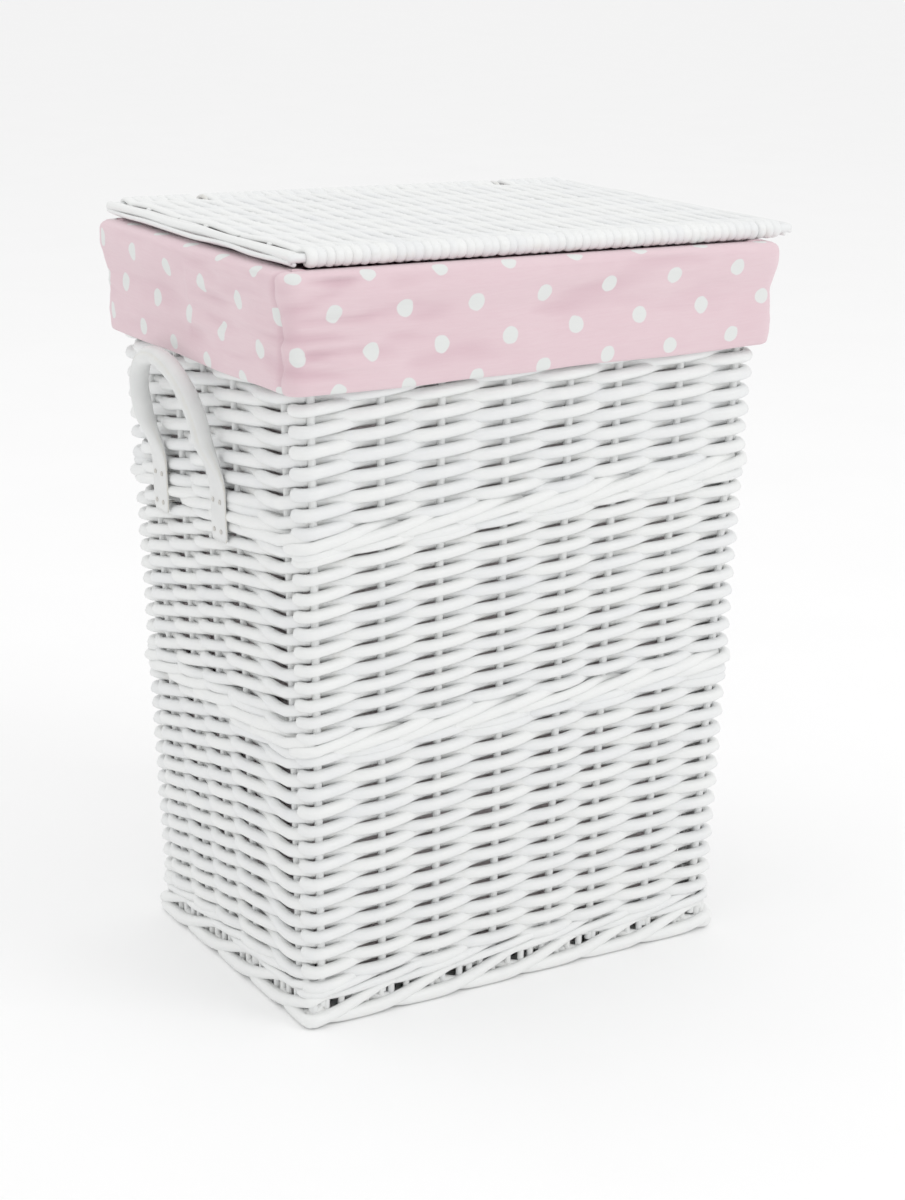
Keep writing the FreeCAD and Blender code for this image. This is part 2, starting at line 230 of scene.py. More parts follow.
class Strands:
    """Rods that together make one mesh."""

    def __init__(self):
        self.points = []
        self.faces = []
        self.grain = []
        self.recess = []
        self.tone = []
        self.count = 0

    def add(self, path, half_width, half_height, up, closed=False, recess=0.0):
        """A rod along path. half_height is measured along up and half_width across it."""
        path = np.array(path, float)
        half_width = np.broadcast_to(half_width, len(path)).astype(float)
        half_height = np.broadcast_to(half_height, len(path)).astype(float)
        recess = np.broadcast_to(recess, len(path)).astype(float)
        if not closed:
            first = path[0] - path[1]
            last = path[-1] - path[-2]
            first *= half_height[0] / np.linalg.norm(first)
            last *= half_height[-1] / np.linalg.norm(last)
            path = np.vstack([path[0] + 0.6 * first, path[0] + 0.4 * first, path,
                              path[-1] + 0.4 * last, path[-1] + 0.6 * last])
            shrink = np.array([0.35, 0.8])
            half_width = np.concatenate([half_width[0] * shrink, half_width,
                                         half_width[-1] * shrink[::-1]])
            half_height = np.concatenate([half_height[0] * shrink, half_height,
                                          half_height[-1] * shrink[::-1]])
            recess = np.concatenate([recess[:1], recess[:1], recess, recess[-1:], recess[-1:]])
            ahead = np.gradient(path, axis=0)
        else:
            ahead = np.roll(path, -1, 0) - np.roll(path, 1, 0)
        n = len(path)
        ahead /= np.linalg.norm(ahead, axis=1)[:, None]
        up = np.broadcast_to(np.array(up, float), (n, 3))
        up = up - ahead * (up * ahead).sum(1)[:, None]
        up /= np.linalg.norm(up, axis=1)[:, None]
        side = np.cross(ahead, up)
        turn = 2 * math.pi * np.arange(SIDES) / SIDES
        ring = (np.cos(turn)[None, :, None] * (side * half_width[:, None])[:, None, :]
                + np.sin(turn)[None, :, None] * (up * half_height[:, None])[:, None, :])
        base = sum(len(p) for p in self.points)
        self.points.append((path[:, None, :] + ring).reshape(-1, 3))
        runs = n if closed else n - 1
        k, j = np.meshgrid(np.arange(runs), np.arange(SIDES), indexing="ij")
        k2, j2 = (k + 1) % n, (j + 1) % SIDES
        quads = np.stack([k * SIDES + j, k2 * SIDES + j, k2 * SIDES + j2, k * SIDES + j2], -1)
        self.faces += (quads.reshape(-1, 4) + base).tolist()
        steps = np.linalg.norm(np.roll(path, -1, 0) - path, axis=1)
        arc = np.concatenate([[0], np.cumsum(steps)]) * MM + 1.7 * self.count
        low, high = j / SIDES, (j + 1) / SIDES
        corners = np.stack([np.stack([arc[k], low], -1), np.stack([arc[k + 1], low], -1),
                            np.stack([arc[k + 1], high], -1), np.stack([arc[k], high], -1)], 2)
        self.grain.append(corners.reshape(-1, 2))
        if not closed:
            for start, order in ((0, 1), ((n - 1) * SIDES, -1)):
                self.faces.append([base + start + i for i in range(SIDES)][::order])
                self.grain.append(np.full((SIDES, 2), arc[0]))
        self.recess.append(np.repeat(recess, SIDES))
        self.tone.append(np.full(n * SIDES, rng.random()))
        self.count += 1

    def make(self, name, body, nodes, slot="white_willow"):
        obj = new_mesh_object(name, np.vstack(self.points), self.faces, np.vstack(self.grain))
        # recess: how far back each point lies, which the willow paint darkens as painted shade
        put_attribute(obj, "recess", np.concatenate(self.recess))
        put_attribute(obj, "tone", np.concatenate(self.tone))
        obj.data.materials.append(materials[slot])
        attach(obj, body)
        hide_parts(*nodes)
        return obj


# ---- materials ---------------------------------------------------------------------------------
class Nodes:
    """A short way to write a node tree."""

    def __init__(self, name):
        self.material = bpy.data.materials.new(name)
        self.material.use_nodes = True
        self.tree = self.material.node_tree
        self.shader = self.tree.nodes["Principled BSDF"]

    def add(self, kind, **settings):
        node = self.tree.nodes.new(kind)
        for key, value in settings.items():
            setattr(node, key, value)
        return node

    def link(self, source, target):
        self.tree.links.new(source, target)

    def value(self, source, target):
        if isinstance(source, (int, float)):
            target.default_value = source
        else:
            self.link(source, target)

    def math(self, operation, a, b=0.0, c=0.0):
        node = self.add("ShaderNodeMath", operation=operation)
        for source, target in zip((a, b, c), node.inputs):
            self.value(source, target)
        return node.outputs[0]

    def combine(self, x, y, z):
        node = self.add("ShaderNodeCombineXYZ")
        for source, target in zip((x, y, z), node.inputs):
            self.value(source, target)
        return node.outputs[0]

    def separate(self, vector):
        node = self.add("ShaderNodeSeparateXYZ")
        self.link(vector, node.inputs[0])
        return node.outputs

    def uv(self):
        return self.add("ShaderNodeUVMap", uv_map="Grain").outputs[0]

    def position(self):
        return self.add("ShaderNodeTexCoord").outputs["Object"]

    def attribute(self, name):
        return self.add("ShaderNodeAttribute", attribute_name=name).outputs["Fac"]

    def noise(self, vector, scale, detail=3.0, roughness=0.55):
        node = self.add("ShaderNodeTexNoise")
        self.link(vector, node.inputs["Vector"])
        node.inputs["Scale"].default_value = scale
        node.inputs["Detail"].default_value = detail
        node.inputs["Roughness"].default_value = roughness
        return node.outputs["Fac"]

    def stretch(self, vector, x, y, z):
        node = self.add("ShaderNodeVectorMath", operation="MULTIPLY")
        self.link(vector, node.inputs[0])
        node.inputs[1].default_value = (x, y, z)
        return node.outputs[0]

    def ramp(self, source, low, high, to_low=0.0, to_high=1.0):
        node = self.add("ShaderNodeMapRange")
        self.link(source, node.inputs["Value"])
        limits = {"From Min": low, "From Max": high, "To Min": to_low, "To Max": to_high}
        for key, value in limits.items():
            node.inputs[key].default_value = value
        return node.outputs["Result"]

    def mix(self, factor, a, b):
        node = self.add("ShaderNodeMix", data_type="RGBA")
        self.value(factor, node.inputs["Factor"])
        for source, target in ((a, node.inputs["A"]), (b, node.inputs["B"])):
            if isinstance(source, tuple):
                target.default_value = (*source, 1)
            else:
                self.link(source, target)
        return node.outputs["Result"]

    def bump(self, height, strength, distance, normal=None):
        node = self.add("ShaderNodeBump")
        node.inputs["Strength"].default_value = strength
        node.inputs["Distance"].default_value = distance
        self.link(height, node.inputs["Height"])
        if normal is not None:
            self.link(normal, node.inputs["Normal"])
        return node.outputs["Normal"]

    def finish(self, colour, roughness, normal, **constants):
        self.link(colour, self.shader.inputs["Base Color"])
        self.link(roughness, self.shader.inputs["Roughness"])
        self.link(normal, self.shader.inputs["Normal"])
        for key, value in constants.items():
            self.shader.inputs[key.replace("_", " ")].default_value = value
        return self.material


paint_white = (0.82, 0.83, 0.82)
paint_cool = (0.74, 0.755, 0.77)
# darker, yellower paint mixed into the recesses: partly dust, partly painted shade
paint_dust_and_shade = (0.66, 0.63, 0.57)


def painted_willow(name, on_rods):
    """White paint over willow: fine ridges along the rod, uneven paint, and dust spots, which on the
    rods lie in the recesses and darken them as painted shade.
    """
    n = Nodes(name)
    place = n.position()
    if on_rods:
        along, around = n.separate(n.uv())[:2]
        turn = n.math("MULTIPLY", around, 2 * math.pi)
        grain_place = n.combine(n.math("MULTIPLY", along, 30), n.math("COSINE", turn),
                                n.math("SINE", turn))
        recess = n.attribute("recess")
        tone = n.attribute("tone")
    else:
        grain_place = n.stretch(place, 500, 500, 30)
        recess = n.noise(place, 30)
        tone = n.noise(place, 12)
    ridges = n.noise(grain_place, 3.2, detail=4.0)
    patches = n.noise(place, 70, detail=2.0)
    knots = n.noise(place, 160, detail=1.0)
    cool = n.math("ADD", n.math("MULTIPLY", patches, 0.55), n.math("MULTIPLY", tone, 0.3))
    colour = n.mix(n.ramp(cool, 0.3, 0.85), paint_white, paint_cool)
    # spots darkened and yellowed where the rods lie back (recess): partly dust, partly painted shade
    dust_and_shade = n.math("MULTIPLY", n.ramp(recess, 0.35, 1.0), n.ramp(knots, 0.5, 0.72))
    colour = n.mix(n.math("MULTIPLY", dust_and_shade, 0.35), colour, paint_dust_and_shade)
    rough = n.ramp(patches, 0.3, 0.7, 0.34, 0.5)
    fine = n.bump(ridges, 0.5, 0.0006)
    normal = n.bump(patches, 0.35, 0.0012, fine)
    return n.finish(colour, rough, normal)


dot_pitch = 49.3            # between the dots of a row
dot_rows = 44.4             # between rows that start alike; the rows between are shifted by half
dot_radius = 5.3
cloth_pink = (0.69, 0.48, 0.53)
cloth_pale = (0.73, 0.545, 0.585)
# deeper pink painted into the hollows of the wrinkles: painted shade
cloth_crease_shade = (0.56, 0.34, 0.40)
cloth_white = (0.70, 0.72, 0.705)
# paler pinkish grey: painted light for the bag's outer face, which sits in shade behind the weave
cloth_painted_light = (0.84, 0.77, 0.78)


def dotted_cotton(name, painted_light):
    """Pink cotton in a plain weave, printed with staggered white dots. A share of paler pinkish grey
    can be mixed in as painted light, for the bag's outer face in the shade behind the weave.
    """
    n = Nodes(name)
    u, v = n.separate(n.uv())[:2]
    wobble = n.math("MULTIPLY", n.math("SUBTRACT", n.noise(n.uv(), 120, detail=1.0), 0.5), 0.0022)
    nearest = None
    for half in (0.0, 0.5):
        cell = []
        for coordinate, pitch in ((u, dot_pitch * MM), (v, dot_rows * MM)):
            share = n.math("ADD", n.math("DIVIDE", coordinate, pitch), half)
            wrapped = n.math("SUBTRACT", n.math("FRACT", share), 0.5)
            cell.append(n.math("MULTIPLY", wrapped, pitch))
        distance = n.math("SQRT", n.math("ADD", n.math("MULTIPLY", cell[0], cell[0]),
                                         n.math("MULTIPLY", cell[1], cell[1])))
        nearest = distance if nearest is None else n.math("MINIMUM", nearest, distance)
    nearest = n.math("ADD", nearest, wobble)
    dot = n.ramp(nearest, (dot_radius + 0.3) * MM, (dot_radius - 0.3) * MM)
    threads = []
    for coordinate in (u, v):
        threads.append(n.math("SINE", n.math("MULTIPLY", coordinate, 2 * math.pi / (0.75 * MM))))
    weave = n.math("MULTIPLY", threads[0], threads[1])
    slub = n.noise(n.stretch(n.uv(), 60, 900, 1), 1.0, detail=3.0)
    cloud = n.noise(n.uv(), 18, detail=3.0)
    pale = n.math("ADD", n.math("MULTIPLY", slub, 0.6), n.math("MULTIPLY", cloud, 0.6))
    colour = n.mix(n.ramp(pale, 0.35, 0.85), cloth_pink, cloth_pale)
    # the hollows of the wrinkles are painted deeper pink: painted shade
    fold_shade = n.attribute("fold_shade")
    colour = n.mix(n.math("MULTIPLY", fold_shade, 0.6), colour, cloth_crease_shade)
    colour = n.mix(dot, colour, cloth_white)
    # painted light: the paler copy lightens cloth that sits in shade
    colour = n.mix(painted_light, colour, cloth_painted_light)
    normal = n.bump(weave, 0.16, 0.0002)
    normal = n.bump(slub, 0.25, 0.0006, normal)
    rough = n.ramp(slub, 0.2, 0.8, 0.78, 0.92)
    return n.finish(colour, rough, normal, Sheen_Weight=0.25, Sheen_Roughness=0.5)


def white_strap(name):
    """Embossed white strap with a pebbled skin and yellowish cut edges."""
    n = Nodes(name)
    place = n.position()
    cells = n.add("ShaderNodeTexVoronoi")
    n.link(place, cells.inputs["Vector"])
    cells.inputs["Scale"].default_value = 900
    creases = n.noise(place, 260, detail=3.0)
    patches = n.noise(place, 45, detail=2.0)
    edge = n.attribute("edge")
    colour = n.mix(n.ramp(patches, 0.3, 0.75), (0.72, 0.73, 0.72), (0.64, 0.65, 0.645))
    worn = n.math("MULTIPLY", edge, n.ramp(creases, 0.35, 0.6, 0.4, 1.0))
    colour = n.mix(n.math("MULTIPLY", worn, 0.75), colour, (0.62, 0.57, 0.42))
    normal = n.bump(cells.outputs["Distance"], 0.25, 0.0003)
    normal = n.bump(creases, 0.3, 0.0005, normal)
    rough = n.ramp(creases, 0.3, 0.7, 0.3, 0.46)
    return n.finish(colour, rough, normal)


def hinge_cane(name):
    """White cane, smoother than the willow."""
    n = Nodes(name)
    place = n.position()
    streaks = n.noise(n.uv(), 90, detail=3.0)
    patches = n.noise(place, 120, detail=2.0)
    colour = n.mix(n.ramp(patches, 0.3, 0.7), (0.78, 0.78, 0.77), (0.70, 0.69, 0.65))
    rough = n.ramp(patches, 0.3, 0.7, 0.3, 0.45)
    return n.finish(colour, rough, n.bump(streaks, 0.4, 0.0004))


def tack_metal(name):
    """Small nickel-plated tacks."""
    n = Nodes(name)
    place = n.position()
    scratches = n.noise(place, 1500, detail=4.0)
    colour = n.mix(n.ramp(scratches, 0.3, 0.7), (0.62, 0.61, 0.58), (0.45, 0.43, 0.39))
    rough = n.ramp(scratches, 0.3, 0.7, 0.25, 0.5)
    return n.finish(colour, rough, n.bump(scratches, 0.2, 0.0001), Metallic=1.0)


def studio_floor(name):
    n = Nodes(name)
    place = n.position()
    mottle = n.noise(place, 6, detail=2.0)
    colour = n.mix(mottle, (0.96, 0.96, 0.96), (0.98, 0.98, 0.98))
    rough = n.ramp(mottle, 0.3, 0.7, 0.75, 0.85)
    return n.finish(colour, rough, n.bump(mottle, 0.05, 0.001))


materials = {
    "white_willow": painted_willow("painted_willow", True),
    "dotted_cotton": dotted_cotton("dotted_cotton", 0.0),
    "white_strap": white_strap("white_strap"),
    "hinge_cane": hinge_cane("hinge_cane"),
}
# a paler copy of the cotton, painted light for the bag's outer face behind the weave
lightened_cotton = dotted_cotton("dotted_cotton_painted_light", 0.8)
plain_willow = painted_willow("painted_willow_sticks", False)
tack_material = tack_metal("tack_metal")


# ---- walls -------------------------------------------------------------------------------------
rod_half_width = 4.2
swing = 4.5                 # a rod's centre stands this far out where it passes a stake
row_steps = 11              # samples between two stakes
row_pitch = {"weave_lower": 6.4, "weave_middle": 6.05, "weave_upper": 6.6}


def weave_row(strands, z, parity, pitch, band_low, band_high):
    """One row of the plain weave: out past one stake, in past the next."""
    u = np.arange(0, stake_count, 1 / row_steps)
    half_height = pitch * 0.64 * (1.0 + wander(u, stake_count, 0.045, 1, 6))
    half_width = rod_half_width * (1.0 + wander(u, stake_count, 0.03, 1, 6))
    beat = np.cos(math.pi * u) * parity
    beat = np.sign(beat) * np.abs(beat) ** 0.8
    offset = swing * beat + wander(u, stake_count, 0.25, 3, 14)
    place = np.mod(u - corner_front_left, stake_count) + corner_front_left
    tilt = np.interp(place, climb_at, pass_tilt) * parity * np.sin(math.pi * u)
    level = z + row_climb(u, z) + wander(u, stake_count, 0.35, 2, 12)
    lowest = band_low + climb(u, band_low) - pitch * 0.3
    highest = band_high + climb(u, band_high) + pitch * 0.3
    level = smooth_round(np.clip(level, lowest, highest), row_steps) + tilt
    path = wall_path(u, level, offset)
    strands.add(path, half_width, half_height, (0, 0, 1), True, 0.5 - 0.5 * beat)


def weave_band(node):
    """The rows of one band of plain weave. Rows that would cross a wale lie along it instead."""
    low, high = node_box(node)
    pitch = row_pitch[node]
    end = high[2] - min(row_rise) * np.interp(high[2], climb_levels, row_rise_share)
    count = round((end - low[2]) / pitch)
    strands = Strands()
    for row in range(-1, count):
        weave_row(strands, low[2] + (row + 0.5) * pitch, 1 if row % 2 else -1, pitch, low[2], high[2])
    return strands.make(node + "_rods", "basket", [node])


def wale_band(node, lift, thick, raised=0.0):
    """Three strands that each pass two stakes outside and one inside, rising as they go."""
    low, high = node_box(node)
    rounds = 3
    steps = 11
    u = np.arange(0, stake_count * rounds, 1 / steps)
    phase = np.mod(u, rounds)
    outside = stake_radius + thick / 2 - 0.6
    offset = np.interp(phase, (0, 0.4, 1.0, 1.6, 2.0, 2.5, 3),
                       (0, outside, outside + 0.9, outside, 0, -outside, 0))
    rise = np.interp(phase, (0, 2, 3), (-1, 1, -1)) * lift
    offset = smooth_round(offset, steps)
    rise = smooth_round(rise, steps)
    middle = (low[2] + high[2]) / 2 + raised
    level = middle + rise + climb(u, middle) + wander(u, stake_count * rounds, 0.4, 5, 30)
    path = wall_path(u, level, offset)
    strands = Strands()
    half = thick / 2 * (1 + wander(u, stake_count * rounds, 0.06, 3, 20))
    strands.add(path, half, half, (0, 0, 1), True, 0.5 - 0.5 * offset / outside)
    return strands.make(node + "_strands", "basket", [node])


for band in row_pitch:
    weave_band(band)
wale_band("wale_base", 5.6, 5.8, 3.0)
wale_band("wale_lower", 6.0, 7.6)
wale_band("wale_upper", 6.0, 7.8)

# ---- foot border -------------------------------------------------------------------------------
border_stroke = 49.0        # along the foot, between the starts of two border rods
border_radius = 4.7
rod_end_radius = 2.3
rod_end_inset = 4.5         # from the border's centre line in to the rod ends


def foot_border():
    """Long rods that run along the floor, then rise over the start of the next one."""
    half = foot_half - border_radius + 1.6
    bend = 3.0
    total = loop_length(half, bend)
    rounds = 3
    strokes = int(total / border_stroke)
    strokes -= strokes % rounds == 0
    steps = 16
    u = np.arange(0, strokes * rounds, 1 / steps)
    phase = np.mod(u, rounds)
    out = np.interp(phase, (0, 0.25, 0.9, 1.3, 2.1, 2.5, 3), (-6, -0.8, 0.3, 0.6, -1.0, -9, -9))
    z = np.interp(phase, (0, 0.25, 0.6, 1.0, 1.3, 2.1, 2.6, 3), (7, 5.4, 4.7, 5.2, 8.4, 22.0, 15, 8))
    out = smooth_round(out, steps // 2)
    z = smooth_round(z, steps // 2)
    points, outward = loop_point(np.mod(u, strokes) * total / strokes, half, bend)
    points = points + outward * (out + wander(u, strokes * rounds, 0.3, 3, 20))[:, None]
    z = np.maximum(z + wander(u, strokes * rounds, 0.35, 5, 30), border_radius)
    strands = Strands()
    taper = np.interp(phase, (0, 1, 2.2, 3), (1.0, 1.0, 0.66, 0.85))
    radius = border_radius * taper
    strands.add(np.column_stack([points, z]), radius, radius, (0, 0, 1), True, np.clip(-out / 9, 0, 1))
    # the ends of the base rods stand behind the gaps
    rod_ends = strokes * 5
    for i in range(rod_ends):
        arc = (i + 0.35 * rng.random()) * total / rod_ends
        points, outward = loop_point(np.array([arc]), half, bend)
        foot = points[0] - outward[0] * rod_end_inset
        keys = [(*(foot + outward[0] * out), z) for out, z in ((0, 1.5), (0.5, 11.0), (0.8, 24.0))]
        strands.add(keys, rod_end_radius, rod_end_radius, (*outward[0], 0), recess=0.7)
    return strands.make("foot_border_rods", "basket", ["foot_border"])


foot_border()


# ---- base --------------------------------------------------------------------------------------
def base_weave():
    """The rods of the bottom panel, over and under its sticks."""
    sticks_low, sticks_high = node_box("base_sticks")
    stick_radius = (sticks_high[2] - sticks_low[2]) / 2
    stick_z = sticks_low[2] + stick_radius
    stick_count = 5
    stick_y = np.linspace(sticks_low[1] + stick_radius, sticks_high[1] - stick_radius, stick_count)
    reach = foot_half[1] - 20
    half_width, half_height = 2.9, 2.1
    pitch = 6.0
    strands = Strands()
    rods = int(2 * (foot_half[0] - 22) / pitch)
    for i in range(rods):
        x = (i - (rods - 1) / 2) * pitch
        side = 1 if i % 2 else -1
        keys = [(x, -reach, stick_z)]
        for k, y in enumerate(stick_y):
            keys.append((x, y, stick_z + side * (-1) ** k * (stick_radius + half_height)))
        keys.append((x, reach, stick_z))
        path = through(keys, 5.0)
        path[:, 0] += wander(np.arange(len(path)), len(path), 0.3, 1, 4)
        strands.add(path, half_height, half_width, (1, 0, 0))
    return strands.make("base_weave_rods", "basket", ["base_weave"])


def rim_border():
    """Three thick strands twisted round each other, hidden by the cuff."""
    low, high = node_box("rim_border")
    middle = (low[2] + high[2]) / 2
    half = high[:2] - (high[2] - low[2]) / 2
    turns = 28
    twist_radius = 4.0
    strand_radius = 4.4
    bend = 12.0
    u = np.linspace(0, 1, 900, endpoint=False)
    points, outward = loop_point(u * loop_length(half, bend), half, bend)
    strands = Strands()
    for strand in range(3):
        angle = 2 * math.pi * (turns * u + strand / 3)
        aside = outward * (twist_radius * np.cos(angle))[:, None]
        path = np.column_stack([points + aside, middle + twist_radius * np.sin(angle)])
        strands.add(path, strand_radius, strand_radius, (0, 0, 1), True)
    return strands.make("rim_border_rods", "basket", ["rim_border"])


base_weave()
rim_border()

# ---- liner -------------------------------------------------------------------------------------
cloth_thickness = 1.2
cuff_low, cuff_high = node_box("liner_cuff")
bag_low, bag_high = node_box("liner_bag")
hem_half = wall_half(cuff_low[2]) + wall_skin + 2.9
cuff_top_half = cuff_high[:2]


def sheet_mesh(name, points, uv):
    """A sheet from a grid of points whose columns close round the basket. uv holds, for each face,
    the print's place at its first column and at its next one."""
    rows, columns = points.shape[:2]
    r, c = np.meshgrid(np.arange(rows - 1), np.arange(columns), indexing="ij")
    c2 = (c + 1) % columns
    faces = np.stack([r * columns + c, r * columns + c2,
                      (r + 1) * columns + c2, (r + 1) * columns + c], -1)
    corners = np.stack([uv[0, r, c], uv[1, r, c], uv[1, r + 1, c], uv[0, r + 1, c]], 2)
    return new_mesh_object(name, points.reshape(-1, 3), faces.reshape(-1, 4).tolist(),
                           corners.reshape(-1, 2))


def thicken(obj, *sides):
    """Gives a sheet its thickness, inwards, as part of its mesh. sides are the materials of its
    outer face and of its inner one."""
    for material in sides:
        obj.data.materials.append(material)
    solid = obj.modifiers.new("thickness", "SOLIDIFY")
    solid.thickness = cloth_thickness * MM
    solid.offset = -1
    solid.material_offset = len(sides) - 1
    solid.material_offset_rim = len(sides) - 1
    graph = bpy.context.evaluated_depsgraph_get()
    mesh = bpy.data.meshes.new_from_object(obj.evaluated_get(graph))
    obj.modifiers.clear()
    obj.data = mesh


def cloth_noise(points, scale, seed):
    """Perlin noise at each point of a grid, stretched by scale."""
    flat = points.reshape(-1, 3) * np.array(scale) + seed
    values = np.array([noise.noise(Vector(p)) for p in flat])
    return values.reshape(points.shape[:-1])


# the cuff from the hem up, over the rim and down inside: inwards from its outer surface, and height
cuff_profile = ((4.2, 440.0), (3.4, 434.0), (1.0, 431.4), (-1.6, 432.2), (-2.2, 436.0), (-2.0, 444.0),
                (-1.2, 453.0), (-0.3, 461.0), (0.5, 468.0), (0.0, 474.0), (-1.4, 481.0), (-2.4, 487.0),
                (-2.5, 492.0), (-1.2, 496.6), (3.0, 499.2), (10.0, 499.8), (16.0, 499.5), (21.0, 498.6),
                (23.6, 495.5), (24.4, 489.0), (24.6, 478.0))
cuff_bend = 10.0
seam_place = -124.0         # depth of the cuff's side seam on the left wall


def liner_cuff():
    profile = through([(0, i, z) for i, z in cuff_profile], 2.0)[:, 1:]
    columns = 540
    arc_share = np.arange(columns) / columns
    length = np.concatenate([[0], np.cumsum(np.linalg.norm(np.diff(profile, axis=0), axis=1))])
    hem_row = int(np.argmin(profile[:30, 1]))
    length -= length[hem_row]
    points = np.zeros((len(profile), columns, 3))
    outs = np.zeros((len(profile), columns, 2))
    for r, (inside, z) in enumerate(profile):
        share = (z - cuff_low[2]) / (cuff_high[2] - cuff_low[2])
        half = hem_half + (cuff_top_half - hem_half) * share
        radius = cuff_bend
        flat, outward = loop_point(arc_share * loop_length(half, radius), half, radius)
        # the long walls leave less room behind the cloth than the short ones
        long_wall_room = min(inside, 1.5 + 0.9 * max(0, inside - 2.5))
        room = np.where(np.abs(outward[:, 1:]) > 0.7, long_wall_room, inside)
        points[r, :, :2] = flat - outward * room
        points[r, :, 2] = z + np.clip((z - 445) / 50, 0, 1) * lid_rise(points[r, :, 0])
        outs[r] = outward
    total = loop_length(hem_half, cuff_bend)
    quarter_bend = math.pi * cuff_bend / 2
    around = arc_share * total - (hem_half[0] - cuff_bend)
    back_left_arc = total - (hem_half[0] - cuff_bend) - quarter_bend - 2 * (hem_half[1] - cuff_bend)
    seam_arc = back_left_arc + (hem_half[1] - cuff_bend) - seam_place
    # wrinkles: long and low, stronger beside the front left corner
    by_front_left = np.exp(-((points[..., 0] + 150) / 45) ** 2) * (points[..., 1] < 0)
    waves = cloth_noise(points, (0.016, 0.016, 0.05), 3.0) * 2.4
    waves += cloth_noise(points, (0.03, 0.02, 0.15), 11.0) * (0.9 + 3.6 * by_front_left)
    outside = np.clip((profile[:, 1] - cuff_low[2] - 3) / 10, 0, 1) * (length > 0) * (length < 66)
    waves *= outside[:, None]
    waves -= (2.0 * np.exp(-((around - seam_arc) / 2.0) ** 2))[None, :] * (length > 0)[:, None]
    points[..., :2] += outs * waves[..., None]
    # the hem dips and rises a little
    drop = np.clip(1 - (points[..., 2] - cuff_low[2]) / 40, 0, 1)
    points[..., 2] += drop * 1.5 * cloth_noise(points * np.array([1, 1, 0]), (0.015, 0.015, 1), 5.0)
    # the print starts again at the seam, and climbs a little along both walls
    places = np.append(around, total + around[0])
    uv = np.zeros((2, len(profile), columns, 2))
    for step in range(2):
        place = places[step:columns + step]
        depth = seam_place - (place - seam_arc)
        on_left = (around > back_left_arc) & (around < seam_arc)
        place = np.where(around >= seam_arc, place - total, place)
        print_along = np.where(on_left, seam_place - depth - 24.0, place + 175.0) + dot_pitch / 2
        climb_front = 0.045 * np.clip(place + 60, 0, 240)
        climb_left = 0.06 * (seam_place + 30 - depth)
        print_up = np.where(on_left, climb_left, -climb_front)
        uv[step, :, :, 0] = print_along * MM
        uv[step, :, :, 1] = (length[:, None] - 25.5 + dot_rows / 2 + print_up) * MM
    obj = sheet_mesh("liner_cuff_cloth", points, uv)
    # how deep each point lies in a wrinkle or in the seam's dip, for the painted shade in the cloth's
    # colour
    put_attribute(obj, "fold_shade", np.clip(-waves / 2.2, 0, 1).ravel())
    thicken(obj, materials["dotted_cotton"])
    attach(obj, "basket")
    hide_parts("liner_cuff")
    return obj


def liner_bag():
    """The bag: walls just inside the weave, sagging a little between the stakes, and a floor."""
    columns = 300
    top = bag_high[2] - 1.0
    levels = np.linspace(bag_low[2] + 8, top, 70)
    floor_shares = (0.02, 0.15, 0.3, 0.45, 0.6, 0.75, 0.88, 0.96)
    share = np.arange(columns) / columns
    rings = []
    lengths = []
    low_half = wall_half(bag_low[2]) - wall_skin - 1.2
    for size in floor_shares:
        half = low_half * size
        points, outward = loop_point(share * loop_length(half, 9.0 * size), half, 9.0 * size)
        rings.append(np.column_stack([points, np.full(columns, bag_low[2] + 1.4)]))
        lengths.append(low_half[1] * size)
    for z in levels:
        half = wall_half(z) - wall_skin - 1.0
        points, outward = loop_point(share * loop_length(half, 9.0), half, 9.0)
        rings.append(np.column_stack([points, np.full(columns, z)]))
        lengths.append(low_half[1] + z - bag_low[2])
    points = np.array(rings)
    outward = points[..., :2] / np.linalg.norm(points[..., :2], axis=-1)[..., None]
    waves = cloth_noise(points, (0.02, 0.02, 0.012), 21.0) * 2.0 - 0.7
    above_floor = points[..., 2] - bag_low[2] - 2
    walls = np.clip(above_floor / 30, 0, 1) * np.clip((top - points[..., 2]) / 25, 0, 1)
    points[..., :2] += outward * (waves * walls)[..., None]
    floor_wrinkles = 0.4 + np.abs(cloth_noise(points, (0.03, 0.03, 0.03), 31.0)) * 3.0
    points[..., 2] += (1 - np.clip(above_floor / 10, 0, 1)) * floor_wrinkles
    total = loop_length(wall_half(top) - wall_skin, 9.0)
    uv = np.zeros((2, len(points), columns, 2))
    for step in range(2):
        uv[step, ..., 0] = (np.arange(columns) + step) / columns * total * MM
        uv[step, ..., 1] = np.array(lengths)[:, None] * MM
    obj = sheet_mesh("liner_bag_cloth", points, uv)
    # the outer face gets the paler copy, painted light for the shade behind the weave
    thicken(obj, lightened_cotton, materials["dotted_cotton"])
    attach(obj, "basket")
    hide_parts("liner_bag")
    return obj


liner_bag()
liner_cuff()


# ---- handles -----------------------------------------------------------------------------------
loop_radius = 45.0
loop_half_thick = 6.75
loop_half_width = 5.9
hinge_gap = 5.2             # from the flat tab's surface out to the loop's centre line


